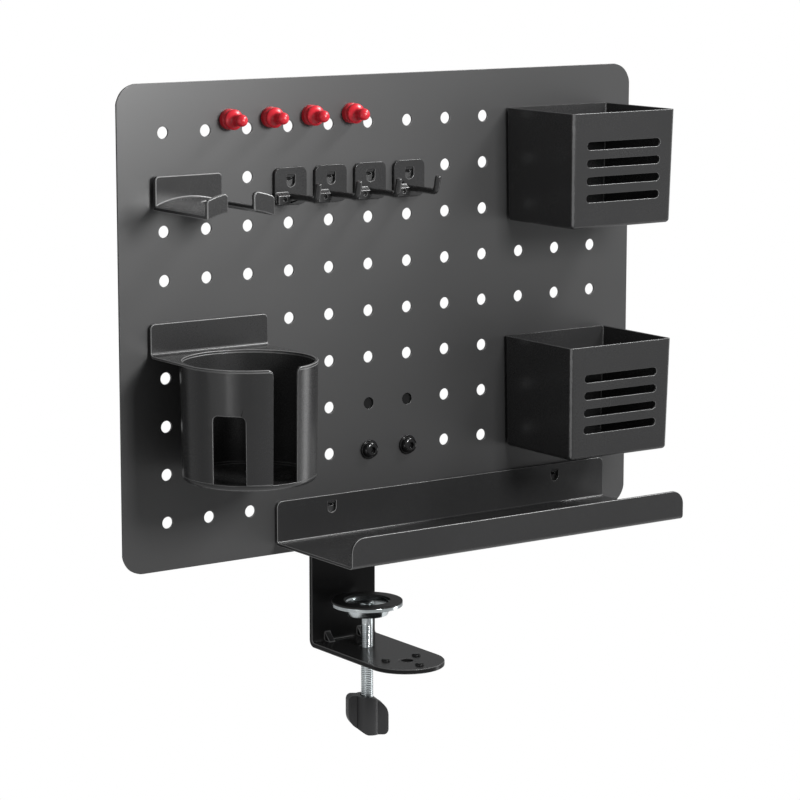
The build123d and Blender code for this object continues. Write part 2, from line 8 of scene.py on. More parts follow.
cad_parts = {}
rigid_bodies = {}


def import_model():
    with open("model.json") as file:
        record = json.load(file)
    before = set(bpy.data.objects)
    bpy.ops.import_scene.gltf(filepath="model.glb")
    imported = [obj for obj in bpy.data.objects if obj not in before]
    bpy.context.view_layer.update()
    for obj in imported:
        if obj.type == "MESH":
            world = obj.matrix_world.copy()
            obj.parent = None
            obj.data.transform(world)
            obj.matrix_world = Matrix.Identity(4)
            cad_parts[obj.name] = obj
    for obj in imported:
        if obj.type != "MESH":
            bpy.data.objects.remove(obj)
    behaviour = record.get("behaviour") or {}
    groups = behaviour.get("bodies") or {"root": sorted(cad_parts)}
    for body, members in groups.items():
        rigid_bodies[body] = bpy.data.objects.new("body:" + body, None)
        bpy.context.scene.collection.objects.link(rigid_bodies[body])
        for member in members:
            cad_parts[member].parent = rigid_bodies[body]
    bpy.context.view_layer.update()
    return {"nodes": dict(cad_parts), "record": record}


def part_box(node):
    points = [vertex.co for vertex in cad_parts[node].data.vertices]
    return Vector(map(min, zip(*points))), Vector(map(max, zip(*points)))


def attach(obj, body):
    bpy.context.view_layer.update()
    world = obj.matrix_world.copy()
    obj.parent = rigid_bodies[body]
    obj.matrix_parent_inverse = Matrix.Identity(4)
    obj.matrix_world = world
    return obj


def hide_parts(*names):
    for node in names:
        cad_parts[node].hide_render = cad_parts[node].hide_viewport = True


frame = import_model()
cadNodes = frame["nodes"]
bodyOf = {}
for bodyName, members in frame["record"]["behaviour"]["bodies"].items():
    for member in members:
        bodyOf[member] = bodyName

mm = 0.001


class Val:
    # a number socket that can be used in sums
    def __init__(self, tree, socket):
        self.tree = tree
        self.socket = socket

    def calc(self, operation, a, b=None, clamp=False):
        node = self.tree.nodes.new("ShaderNodeMath")
        node.operation = operation
        node.use_clamp = clamp
        for place, value in enumerate((a, b)):
            if isinstance(value, Val):
                self.tree.links.new(value.socket, node.inputs[place])
            elif value is not None:
                node.inputs[place].default_value = value
        return Val(self.tree, node.outputs[0])

    def __add__(self, other):
        return self.calc("ADD", self, other)

    def __radd__(self, other):
        return self.calc("ADD", other, self)

    def __sub__(self, other):
        return self.calc("SUBTRACT", self, other)

    def __rsub__(self, other):
        return self.calc("SUBTRACT", other, self)

    def __mul__(self, other):
        return self.calc("MULTIPLY", self, other)

    def __rmul__(self, other):
        return self.calc("MULTIPLY", other, self)

    def within(self):
        return self.calc("ADD", self, 0.0, clamp=True)


class Paint:
    # one material's node tree and the patterns that the finishes are made of
    def __init__(self, name):
        self.material = bpy.data.materials.new(name)
        self.material.use_nodes = True
        self.tree = self.material.node_tree
        self.surface = self.tree.nodes["Principled BSDF"]
        self.place = self.node("ShaderNodeTexCoord").outputs["Object"]

    def node(self, kind, settings=None, **values):
        node = self.tree.nodes.new(kind)
        for key, value in (settings or {}).items():
            setattr(node, key, value)
        for key, value in values.items():
            self.put(node.inputs[key], value)
        return node

    def put(self, socket, value):
        if isinstance(value, Val):
            value = value.socket
        if isinstance(value, bpy.types.NodeSocket):
            self.tree.links.new(value, socket)
        else:
            socket.default_value = value

    def noise(self, scale, detail, rough=0.5, stretch=None):
        where = self.place
        if stretch:
            where = self.node("ShaderNodeMapping", None, Vector=where, Scale=stretch).outputs[0]
        made = self.node(
            "ShaderNodeTexNoise", None, Vector=where, Scale=scale, Detail=detail, Roughness=rough)
        return Val(self.tree, made.outputs["Fac"])

    def cells(self, scale):
        made = self.node("ShaderNodeTexVoronoi", {"feature": "F1"}, Vector=self.place, Scale=scale)
        return Val(self.tree, made.outputs["Distance"])

    def blendColour(self, amount, low, high):
        # the colour sockets of a Mix node are its seventh and eighth, its colour output the third
        made = self.node("ShaderNodeMix", {"data_type": "RGBA"}, Factor=amount)
        for socket, colour in zip(made.inputs[6:8], (low, high)):
            self.put(socket, (*colour, 1.0) if isinstance(colour, tuple) else colour)
        return made.outputs[2]

    def along(self, axis):
        parted = self.node("ShaderNodeSeparateXYZ", None, Vector=self.place)
        return Val(self.tree, parted.outputs[axis])

    def edgeHighlight(self):
        # how strong the painted edge highlight is on a face: none away from bevels and bent corners
        marked = self.node("ShaderNodeAttribute", {"attribute_name": "paintedEdgeHighlight"})
        return Val(self.tree, marked.outputs["Fac"])

    def bump(self, height, distance, strength):
        made = self.node("ShaderNodeBump", None, Strength=strength, Distance=distance)
        self.put(made.inputs["Height"], height)
        self.put(self.surface.inputs["Normal"], made.outputs[0])

    def finish(self, **values):
        names = {"colour": "Base Color", "rough": "Roughness", "metal": "Metallic",
                 "shine": "Specular IOR Level"}
        for key, value in values.items():
            self.put(self.surface.inputs[names[key]], value)
        return self.material


# edgeHighlightLeast and edgeHighlightClouds: the least painted edge highlight, and the share of it that
# follows the clouds
powder = {"cloudDetail": 4.0, "grainDetail": 2.0, "grainRough": 0.6, "pebbleScale": 0.55,
          "cloudTone": 0.7, "grainTone": 0.3, "grainGloss": 0.05, "grainRelief": 0.6, "pebbleRelief": 0.4,
          "edgeHighlightLeast": 0.65, "edgeHighlightClouds": 0.7}
# where each band lies, in metres from the board's face, how fast it begins and ends, and the rim's share: the
# painted shade in the hole walls and the painted highlight at the rim
holeShadeBands = {"wallFrom": 0.00028, "wallSlope": 9000.0, "rimFrom": 0.00002, "rimTo": 0.00024,
               "rimSlope": 20000.0, "rimAmount": 0.8}


def powderCoat(name, look):
    # baked powder: fine pebbled skin, faint clouds in colour and gloss
    paint = Paint(name)
    clouds = paint.noise(look["cloudScale"], powder["cloudDetail"])
    fine = paint.noise(look["grainScale"], powder["grainDetail"], powder["grainRough"])
    pebble = paint.cells(look["grainScale"] * powder["pebbleScale"])
    tone = (clouds * powder["cloudTone"] + fine * powder["grainTone"]).within()
    colour = paint.blendColour(tone, look["dark"], look["light"])
    rough = look["rough"] + (clouds - 0.5) * look["roughSpread"] + (fine - 0.5) * powder["grainGloss"]
    if "edgeHighlight" in look:
        # a paler colour is painted along the broken edges as a highlight
        edgeHighlight = paint.edgeHighlight() * (powder["edgeHighlightLeast"] + clouds * powder["edgeHighlightClouds"])
        colour = paint.blendColour(edgeHighlight.within(), colour, look["edgeHighlight"])
    if "holeWallShade" in look:
        # the hole walls get painted shade, darker than the face, and the rim at the face a painted highlight
        holeBands = holeShadeBands
        depth = paint.along(1) - look["faceAt"]
        toBack = look["thick"] - holeBands["wallFrom"] - depth
        wall = ((depth - holeBands["wallFrom"]) * holeBands["wallSlope"]).within()
        wall = wall * (toBack * holeBands["wallSlope"]).within()
        rim = ((depth - holeBands["rimFrom"]) * holeBands["rimSlope"]).within()
        rim = rim * ((holeBands["rimTo"] - depth) * holeBands["rimSlope"]).within()
        colour = paint.blendColour(wall, colour, look["holeWallShade"])
        colour = paint.blendColour(rim * holeBands["rimAmount"], colour, look["rim"])
    relief = fine * powder["grainRelief"] + pebble * powder["pebbleRelief"]
    paint.bump(relief, look["grainDepth"], look["grainStrength"])
    return paint.finish(colour=colour, rough=rough, shine=look["shine"])


zinc = {"patchDetail": 5.0, "streakDetail": 3.0, "streakRough": 0.5, "patchGloss": 0.16, "streakGloss": 0.12,
        "streakRelief": 0.7, "patchRelief": 0.3, "depth": 0.00002, "strength": 0.5}


def zincPlate(name, look):
    # bright plating: soft drawn streaks and dull patches
    paint = Paint(name)
    patches = paint.noise(look["patchScale"], zinc["patchDetail"])
    streaks = paint.noise(
        look["streakScale"], zinc["streakDetail"], zinc["streakRough"], look["streakStretch"])
    colour = paint.blendColour(patches, look["dark"], look["light"])
    rough = look["rough"] + (patches - 0.5) * zinc["patchGloss"] + (streaks - 0.5) * zinc["streakGloss"]
    paint.bump(streaks * zinc["streakRelief"] + patches * zinc["patchRelief"], zinc["depth"], zinc["strength"])
    return paint.finish(colour=colour, rough=rough, metal=1.0)


moulded = {"detail": 2.0, "skinRough": 0.6, "flowGloss": 0.1, "skinGloss": 0.06}


def mouldedPlastic(name, look):
    # moulded plastic: fine spark-eroded skin and slow flow marks
    paint = Paint(name)
    flow = paint.noise(look["flowScale"], moulded["detail"])
    skin = paint.noise(look["skinScale"], moulded["detail"], moulded["skinRough"])
    colour = paint.blendColour(flow, look["dark"], look["light"])
    rough = look["rough"] + (flow - 0.5) * moulded["flowGloss"] + (skin - 0.5) * moulded["skinGloss"]
    paint.bump(skin, look["skinDepth"], look["skinStrength"])
    return paint.finish(colour=colour, rough=rough)


rubber = {"dustDetail": 4.0, "dustGain": 1.4, "dustLift": 0.4, "poreStrength": 0.6, "dustGloss": 0.12}


def rubberSkin(name, look):
    # rubber and foam: open pores with a little pale dust
    paint = Paint(name)
    dust = paint.noise(look["dustScale"], rubber["dustDetail"])
    pores = paint.cells(look["poreScale"])
    dusty = (dust * rubber["dustGain"] - rubber["dustLift"]).within()
    colour = paint.blendColour(dusty, look["dark"], look["light"])
    paint.bump(pores, look["poreDepth"], rubber["poreStrength"])
    return paint.finish(colour=colour, rough=look["rough"] + (dust - 0.5) * rubber["dustGloss"])


sheetLow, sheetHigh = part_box("pegboard_panel")
finishes = {
    "board_coat": powderCoat("boardCoat", {
        "faceAt": sheetLow.y, "thick": sheetHigh.y - sheetLow.y,
        # the first colour is the painted shade of the hole walls, the rim colour a painted highlight at their
        # edge
        "holeWallShade": (0.006, 0.006, 0.006), "rim": (0.13, 0.13, 0.13),
        "dark": (0.021, 0.021, 0.0213), "light": (0.027, 0.027, 0.0273),
        "rough": 0.40, "roughSpread": 0.05, "shine": 0.85,
        "cloudScale": 9.0, "grainScale": 2600.0, "grainDepth": 0.00005, "grainStrength": 0.35}),
    # the rubbed colours below are the pale colours of the painted edge highlight
    "bracket_coat": powderCoat("bracketCoat", {
        "dark": (0.009, 0.009, 0.0091), "light": (0.013, 0.013, 0.0131), "edgeHighlight": (0.10, 0.10, 0.10),
        "rough": 0.24, "roughSpread": 0.08, "shine": 0.15,
        "cloudScale": 14.0, "grainScale": 2400.0, "grainDepth": 0.00004, "grainStrength": 0.3}),
    "accessory_coat": powderCoat("accessoryCoat", {
        "dark": (0.017, 0.017, 0.0173), "light": (0.023, 0.023, 0.0233), "edgeHighlight": (0.22, 0.22, 0.22),
        "rough": 0.27, "roughSpread": 0.06, "shine": 0.5,
        "cloudScale": 16.0, "grainScale": 2600.0, "grainDepth": 0.00005, "grainStrength": 0.35}),
    "zinc_steel": zincPlate("zincPlate", {
        "dark": (0.62, 0.68, 0.70), "light": (0.84, 0.88, 0.89), "rough": 0.2,
        "patchScale": 160.0, "streakScale": 220.0, "streakStretch": (1.0, 1.0, 0.12)}),
    "magnet_core": zincPlate("nickelPlate", {
        "dark": (0.45, 0.45, 0.44), "light": (0.66, 0.65, 0.63), "rough": 0.2,
        "patchScale": 300.0, "streakScale": 400.0, "streakStretch": (1.0, 1.0, 1.0)}),
    "black_screw": powderCoat("blackOxide", {
        "dark": (0.004, 0.004, 0.0042), "light": (0.008, 0.008, 0.0082),
        "rough": 0.18, "roughSpread": 0.08, "shine": 0.5,
        "cloudScale": 120.0, "grainScale": 3000.0, "grainDepth": 0.00002, "grainStrength": 0.2}),
    "knob_plastic": mouldedPlastic("knobPlastic", {
        "dark": (0.016, 0.016, 0.017), "light": (0.024, 0.024, 0.025), "rough": 0.4,
        "flowScale": 60.0, "skinScale": 2500.0, "skinDepth": 0.00005, "skinStrength": 0.4}),
    "magnet_red": mouldedPlastic("redPlastic", {
        "dark": (0.44, 0.008, 0.018), "light": (0.56, 0.014, 0.028), "rough": 0.33,
        "flowScale": 90.0, "skinScale": 2200.0, "skinDepth": 0.00002, "skinStrength": 0.25}),
    "rubber_black": rubberSkin("padRubber", {
        "dark": (0.003, 0.003, 0.003), "light": (0.008, 0.008, 0.008), "rough": 0.5,
        "dustScale": 120.0, "poreScale": 2400.0, "poreDepth": 0.00004}),
    "foam_black": rubberSkin("deskFoam", {
        "dark": (0.010, 0.010, 0.010), "light": (0.022, 0.022, 0.022), "rough": 0.85,
        "dustScale": 80.0, "poreScale": 1500.0, "poreDepth": 0.0002}),
}
slotOf = {row["node"]: row["material_slot"] for row in frame["record"]["subparts"]}
print("materials made:", len(finishes))


def newObject(name, data):
    thing = bpy.data.objects.new(name, data)
    bpy.context.scene.collection.objects.link(thing)
    return thing


def settled(thing):
    # takes what the modifiers make as a plain mesh
    graph = bpy.context.evaluated_depsgraph_get()
    mesh = bpy.data.meshes.new_from_object(
        thing.evaluated_get(graph), preserve_all_data_layers=False, depsgraph=graph)
    name = thing.name
    bpy.data.objects.remove(thing)
    return newObject(name, mesh)


def flatFaced(thing):
    # smooth shading that follows the large faces
    flat = thing.modifiers.new("flat", "WEIGHTED_NORMAL")
    flat.weight = 100
    return settled(thing)


def place(thing, nodeName):
    slot = slotOf[nodeName]
    thing.data.materials.clear()
    thing.data.materials.append(finishes[slot])
    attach(thing, bodyOf[nodeName])
    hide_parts(nodeName)


# distances in mm, angles in degrees, and parts of a face's normal
edgeWork = {"weld": 0.002, "flatAngle": 0.2, "sharpAngle": 35.0, "tongueGap": 0.3, "segments": 3,
            "bendFrom": 0.5, "bendTo": 0.88, "bendUpright": 0.2, "upperFrom": 0.1, "leftFrom": -0.1,
            "shadedSideShare": 0.2, "poleWeld": 0.0001}


def mergedCopy(nodeName):
    # the CAD mesh is loose triangles: a copy is merged and its flat faces made whole
    mesh = cadNodes[nodeName].data.copy()
    work = bmesh.new()
    work.from_mesh(mesh)
    bmesh.ops.remove_doubles(work, verts=work.verts, dist=edgeWork["weld"] * mm)
    bmesh.ops.dissolve_limit(
        work, angle_limit=radians(edgeWork["flatAngle"]), verts=work.verts, edges=work.edges)
    work.to_mesh(mesh)
    work.free()
    mesh.shade_smooth()
    return mesh


def markSharp(mesh, look):
    # sharp edges are bevelled, but not those of the tongues behind the board's face
    work = bmesh.new()
    work.from_mesh(mesh)
    weight = work.edges.layers.float.new("bevel_weight_edge")
    behind = sheetLow.y - edgeWork["tongueGap"] * mm if look.get("hung") else inf
    for line in work.edges:
        sharp = line.calc_face_angle(0.0) > radians(edgeWork["sharpAngle"])
        depths = [corner.co.y for corner in line.verts]
        atBack = look.get("backPlain") and min(depths) > sheetLow.y - look["backPlain"] * mm
        if sharp and max(depths) < behind and not atBack:
            line[weight] = 1.0
    work.to_mesh(mesh)
    work.free()


def markEdgeHighlight(mesh, look):
    # the bevel's own faces are marked for a painted highlight, weaker where they face neither up nor left,
    # away from the light, then all faces share one material
    count = len(mesh.polygons)
    marks = [0] * count
    mesh.polygons.foreach_get("material_index", marks)
    for index, face in enumerate(mesh.polygons):
        way = face.normal
        bent = edgeWork["bendFrom"] < abs(way.x) < edgeWork["bendTo"] and abs(way.z) < edgeWork["bendUpright"]
        # bent corners get the painted highlight; bevels facing neither up nor left, away from the light, get
        # less of it
        if look.get("bends") and bent:
            marks[index] = look["bends"]  # bent corners of a box
        elif marks[index] and way.z < edgeWork["upperFrom"] and way.x > edgeWork["leftFrom"]:
            marks[index] = edgeWork["shadedSideShare"]  # edges that face neither up nor left
    broken = mesh.attributes.new("paintedEdgeHighlight", "FLOAT", "FACE")
    broken.data.foreach_set("value", [mark * look.get("rub", 1.0) for mark in marks])
    mesh.polygons.foreach_set("material_index", [0] * count)


def dressed(nodeName, look):
    # sheet-metal and turned pieces: the CAD shape with its edges broken by a small round
    thing = newObject(nodeName + "_piece", mergedCopy(nodeName))
    markSharp(thing.data, look)
    coat = finishes[slotOf[nodeName]]
    thing.data.materials.clear()
    thing.data.materials.append(coat)
    thing.data.materials.append(coat)  # a second slot, so that the bevel can mark its faces
    edge = thing.modifiers.new("edge", "BEVEL")
    edge.width = look["edge"] * mm
    edge.segments = look.get("segments", edgeWork["segments"])
    edge.limit_method = "WEIGHT"
    edge.use_clamp_overlap = not look.get("full")
    edge.miter_outer = "MITER_ARC"
    edge.material = 1
    thing = flatFaced(thing)
    markEdgeHighlight(thing.data, look)
    place(thing, nodeName)


def lathe(name, outline, centre, steps):
    # turns (radius, height) points in mm about an upright axis through centre
    work = bmesh.new()
    rings = []
    for radius, height in outline:
        ring = []
        for step in range(steps):
            a = 2 * pi * step / steps
            spot = Vector((radius * cos(a), radius * sin(a), height)) * mm
            ring.append(work.verts.new(spot + Vector(centre)))
        rings.append(ring)
    for low, high in zip(rings, rings[1:]):
        for step in range(steps):
            after = (step + 1) % steps
            work.faces.new((low[step], low[after], high[after], high[step]))
    bmesh.ops.remove_doubles(work, verts=work.verts, dist=edgeWork["poleWeld"] * mm)
    bmesh.ops.recalc_face_normals(work, faces=work.faces)
    mesh = bpy.data.meshes.new(name)
    work.to_mesh(mesh)
    work.free()
    mesh.shade_smooth()
    return newObject(name, mesh)


class Rule:
    # a geometry node tree with named inputs, for what repeats or follows a rule
    def __init__(self, name, inputs):
        self.tree = bpy.data.node_groups.new(name, "GeometryNodeTree")
        self.tree.interface.new_socket("Geometry", in_out="OUTPUT", socket_type="NodeSocketGeometry")
        self.ids = {}
        kinds = {float: "NodeSocketFloat", int: "NodeSocketInt", bpy.types.Material: "NodeSocketMaterial"}
        for key, value in inputs.items():
            made = self.tree.interface.new_socket(key, in_out="INPUT", socket_type=kinds[type(value)])
            self.ids[key] = made.identifier
        self.inputs = inputs
        self.group = self.tree.nodes.new("NodeGroupInput")

    def given(self, key):
        return self.group.outputs[key]

    def size(self, key):
        return Field(self, self.given(key))

    def node(self, kind, settings=None, **values):
        node = self.tree.nodes.new(kind)
        for key, value in (settings or {}).items():
            setattr(node, key, value)
        for key, value in values.items():
            self.put(node.inputs[key.replace("_", " ").strip()], value)
        return node

    def put(self, socket, value):
        if isinstance(value, Field):
            value = value.socket
        if isinstance(value, bpy.types.NodeSocket):
            self.tree.links.new(value, socket)
        else:
            socket.default_value = value

    def vector(self, operation, way, scale=None):
        # one Vector Math node on a way, with the number that scales it where there is one
        node = self.node("ShaderNodeVectorMath", {"operation": operation})
        self.put(node.inputs[0], way)
        if scale is not None:
            self.put(node.inputs["Scale"], scale)
        return node

    def places(self):
        # x, y and z of each point
        parted = self.node("ShaderNodeSeparateXYZ")
        self.put(parted.inputs[0], self.node("GeometryNodeInputPosition").outputs[0])
        return [Field(self, socket) for socket in parted.outputs]

    def mesh(self, name, geometry, material):
        # closes the tree, runs it on an empty object and returns the plain result
        real = self.node("GeometryNodeRealizeInstances", None, Geometry=geometry)
        coated = self.node("GeometryNodeSetMaterial", None, Geometry=real.outputs[0], Material=material)
        out = self.tree.nodes.new("NodeGroupOutput")
        self.tree.links.new(coated.outputs[0], out.inputs[0])
        thing = newObject(name, bpy.data.meshes.new(name))
        run = thing.modifiers.new("rule", "NODES")
        run.node_group = self.tree
        for key, value in self.inputs.items():
            run[self.ids[key]] = value
        return settled(thing)


class Field:
    # a number in a geometry rule that can be used in sums
    def __init__(self, rule, socket):
        self.rule = rule
        self.socket = socket

    def calc(self, operation, a, b=None):
        node = self.rule.node("ShaderNodeMath", {"operation": operation})
        for place, value in enumerate((a, b)):
            if value is not None:
                self.rule.put(node.inputs[place], value)
        return Field(self.rule, node.outputs[0])

    def __add__(self, other):
        return self.calc("ADD", self, other)

    def __radd__(self, other):
        return self.calc("ADD", other, self)

    def __sub__(self, other):
        return self.calc("SUBTRACT", self, other)

    def __rsub__(self, other):
        return self.calc("SUBTRACT", other, self)

    def __mul__(self, other):
        return self.calc("MULTIPLY", self, other)

    def __rmul__(self, other):
        return self.calc("MULTIPLY", other, self)

    def __truediv__(self, other):
        return self.calc("DIVIDE", self, other)

    def least(self, other):
        return self.calc("MINIMUM", self, other)

    def most(self, other):
        return self.calc("MAXIMUM", self, other)

    def within(self):
        return self.least(1.0).most(0.0)


# lengths in mm; holeReach is the part of a pitch within which a point belongs to a hole
panel = {"pitch": 30.0, "columns": 12, "rows": 9, "holeRadius": 3.75, "corner": 14.0, "edge": 0.22,
         "arcSteps": 3, "cornerSteps": 14, "holeSteps": 40, "holeReach": 0.3, "weld": 0.002}


def perforatedPanel(look):
    low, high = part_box("pegboard_panel")
    rule = Rule("perforatedSheet", {
        "Width": high.x - low.x, "Height": high.z - low.z, "Thickness": high.y - low.y,
        "Corner": look["corner"] * mm, "Edge": look["edge"] * mm, "Pitch": look["pitch"] * mm,
        "Hole": look["holeRadius"] * mm, "Columns": look["columns"], "Rows": look["rows"],
        "Coat": finishes["board_coat"]})
    edge, pitch, corner = rule.size("Edge"), rule.size("Pitch"), rule.size("Corner")
    width, height, thick = rule.size("Width"), rule.size("Height"), rule.size("Thickness")

    # the flat face: the outline and the rings of the holes, filled
    outline = rule.node("GeometryNodeCurvePrimitiveQuadrilateral", None,
                        Width=width - edge * 2.0, Height=height - edge * 2.0)
    rounded = rule.node("GeometryNodeFilletCurve", {"mode": "POLY"}, Curve=outline.outputs[0],
                        Radius=corner - edge, Count=look["cornerSteps"])
    ring = rule.node("GeometryNodeCurvePrimitiveCircle", {"mode": "RADIUS"},
                     Resolution=look["holeSteps"], Radius=rule.size("Hole") + edge)
    grid = rule.node("GeometryNodeMeshGrid", None, Size_X=pitch * (look["columns"] - 1.0),
                     Size_Y=pitch * (look["rows"] - 1.0),
                     Vertices_X=rule.given("Columns"), Vertices_Y=rule.given("Rows"))
    rings = rule.node("GeometryNodeInstanceOnPoints", None, Points=grid.outputs[0], Instance=ring.outputs[0])
    loose = rule.node("GeometryNodeRealizeInstances", None, Geometry=rings.outputs[0])
    both = rule.node("GeometryNodeJoinGeometry", None, Geometry=rounded.outputs[0])
    rule.put(both.inputs[0], loose.outputs[0])
    face = rule.node("GeometryNodeFillCurve", {"mode": "TRIANGLES"}, Curve=both.outputs[0])

    # the way outwards at a boundary point: to the middle of its hole, or off the board's outline
    x, y, _ = rule.places()

    def toHole(at, count):
        shift = 0.5 if count % 2 == 0 else 0.0
        return (at.calc("ROUND", at / pitch - shift) + shift) * pitch - at

    def offOutline(at, size):
        limit = size * 0.5 - corner
        return at - at.least(limit).most(limit * -1.0)

    toCentre = rule.node("ShaderNodeCombineXYZ", None, X=toHole(x, look["columns"]), Y=toHole(y, look["rows"]))
    outward = rule.node("ShaderNodeCombineXYZ", None, X=offOutline(x, width), Y=offOutline(y, height))
    isHole = rule.node("FunctionNodeCompare", {"data_type": "FLOAT", "operation": "LESS_THAN"})
    rule.put(isHole.inputs[0], rule.vector("LENGTH", toCentre.outputs[0]).outputs["Value"])
    rule.put(isHole.inputs[1], pitch * look["holeReach"])
    way = rule.node("GeometryNodeSwitch", {"input_type": "VECTOR"}, Switch=isHole.outputs[0],
                    False_=outward.outputs[0], True_=toCentre.outputs[0])
    unit = rule.vector("NORMALIZE", way.outputs[0])

    border = rule.node("GeometryNodeInputMeshEdgeNeighbors")
    openEdge = rule.node("FunctionNodeCompare", {"data_type": "INT", "operation": "EQUAL"})
    rule.put(openEdge.inputs[2], border.outputs[0])  # the whole-number sockets, third and fourth
    rule.put(openEdge.inputs[3], 1)

    # the open edges are drawn out round the front edge, down the wall and round the back edge
    steps = look["arcSteps"]
    turns = [(pi / 2 * step / steps, pi / 2 * (step + 1) / steps) for step in range(steps)]
    moves = [(sin(b) - sin(a), cos(b) - cos(a), 0.0) for a, b in turns]
    moves.append((0.0, 0.0, 1.0))
    moves += [(cos(b) - cos(a), sin(a) - sin(b), 0.0) for a, b in turns]
    geometry, chosen = face.outputs[0], openEdge.outputs[0]
    for outFactor, downFactor, wallFactor in moves:
        lateral = rule.vector("SCALE", unit.outputs[0], edge * outFactor)
        drop = rule.node("ShaderNodeCombineXYZ", None,
                         Z=edge * downFactor - (thick - edge * 2.0) * wallFactor)
        total = rule.vector("ADD", lateral.outputs[0])
        rule.put(total.inputs[1], drop.outputs[0])
        band = rule.node("GeometryNodeExtrudeMesh", {"mode": "EDGES"}, Mesh=geometry, Selection=chosen,
                         Offset=total.outputs[0], Offset_Scale=1.0)
        geometry, chosen = band.outputs["Mesh"], band.outputs["Top"]

    away = rule.node("ShaderNodeCombineXYZ", None, Z=thick * -1.0)
    backFace = rule.node("GeometryNodeTransform", None, Geometry=face.outputs[0], Translation=away.outputs[0])
    turned = rule.node("GeometryNodeFlipFaces", None, Mesh=backFace.outputs[0])
    whole = rule.node("GeometryNodeJoinGeometry", None, Geometry=geometry)
    rule.put(whole.inputs[0], turned.outputs[0])
    welded = rule.node("GeometryNodeMergeByDistance", None, Geometry=whole.outputs[0],
                       Distance=look["weld"] * mm)
    upright = rule.node("GeometryNodeTransform", None, Geometry=welded.outputs[0],
                        Translation=((low.x + high.x) / 2, low.y, (low.z + high.z) / 2),
                        Rotation=(pi / 2, 0, 0))
    sheet = rule.mesh("board_sheet", upright.outputs[0], rule.given("Coat"))
    work = bmesh.new()
    work.from_mesh(sheet.data)
    bmesh.ops.recalc_face_normals(work, faces=work.faces)
    work.to_mesh(sheet.data)
    work.free()
    sheet.data.shade_smooth()
    place(flatFaced(sheet), "pegboard_panel")


perforatedPanel(panel)
print("board sheet made")

# lengths in mm; the groove's share of the full depth is flankSlope times the turns from the middle
# of the crest, less flankShift
clampScrew = {"threadRadius": 4.0, "rootRadius": 3.55, "pitch": 1.25, "steps": 40, "rowsPerTurn": 8,
              "flankSlope": 2.6, "flankShift": 0.55, "runOut": 2.5, "plainTop": 9.0, "headTall": 1.4,
              "neckLong": 3.7, "neckRadius": 3.0, "neckSunk": 0.6, "headRadius": 5.2, "headSteps": 64}
# the peened head: how far each point lies inside the head's radius, and above its underside
headOutline = [(0.2, 0.0), (0.0, 0.2), (0.25, 0.65), (1.0, 1.28), (1.6, 1.4)]


def threadedRod(look):
    # the rod is a cylinder whose radius follows the thread, the head a turned rivet
    low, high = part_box("clamp_screw")
    bottom, shoulder = low.z, high.z - (look["headTall"] + look["neckLong"]) * mm
    tall = shoulder - bottom
    rule = Rule("screwThread", {
        "Radius": look["threadRadius"] * mm, "Root": look["rootRadius"] * mm, "Pitch": look["pitch"] * mm,
        "Run Out": look["runOut"] * mm, "Plain Top": look["plainTop"] * mm, "Tall": tall,
        "Steps": look["steps"], "Rows": int(tall / (look["pitch"] * mm) * look["rowsPerTurn"]),
        "Plate": finishes["zinc_steel"]})
    rod = rule.node("GeometryNodeMeshCylinder", {"fill_type": "TRIANGLE_FAN"}, Vertices=rule.given("Steps"),
                    Side_Segments=rule.given("Rows"), Radius=rule.given("Radius"), Depth=rule.given("Tall"))
    x, y, z = rule.places()
    turn = x.calc("ARCTAN2", y, x) / (2 * pi)
    wave = z / rule.size("Pitch") - turn
    ridge = wave.calc("FRACT", wave)
    # a groove at each end of a turn and a flat crest between them
    groove = (ridge.calc("ABSOLUTE", ridge - 0.5) * look["flankSlope"] - look["flankShift"]).within()
    half = rule.size("Tall") * 0.5
    above = ((half - rule.size("Plain Top") - z) / rule.size("Run Out")).within()
    below = ((z + half) / rule.size("Run Out")).within()
    deep = groove * above * below * (rule.size("Radius") - rule.size("Root"))
    way = rule.vector("NORMALIZE", rule.node("ShaderNodeCombineXYZ", None, X=x, Y=y).outputs[0])
    inward = rule.vector("SCALE", way.outputs[0], deep * -1.0)
    shaped = rule.node("GeometryNodeSetPosition", None, Geometry=rod.outputs["Mesh"], Offset=inward.outputs[0])
    centre = ((low.x + high.x) / 2, (low.y + high.y) / 2, (bottom + shoulder) / 2)
    stood = rule.node("GeometryNodeTransform", None, Geometry=shaped.outputs[0], Translation=centre)
    thing = rule.mesh("clamp_screw_rod", stood.outputs[0], rule.given("Plate"))
    thing.data.shade_smooth()
    place(flatFaced(thing), "clamp_screw")

    neck, top = look["neckRadius"], look["neckLong"] + look["headTall"]
    outline = [(0.0, -look["neckSunk"]), (neck, -look["neckSunk"]), (neck, look["neckLong"])]
    outline += [(look["headRadius"] - inset, look["neckLong"] + rise) for inset, rise in headOutline]
    outline.append((0.0, top))
    head = lathe("clamp_screw_head", outline, (centre[0], centre[1], shoulder), look["headSteps"])
    place(head, "clamp_screw")


threadedRod(clampScrew)
print("clamp screw made")

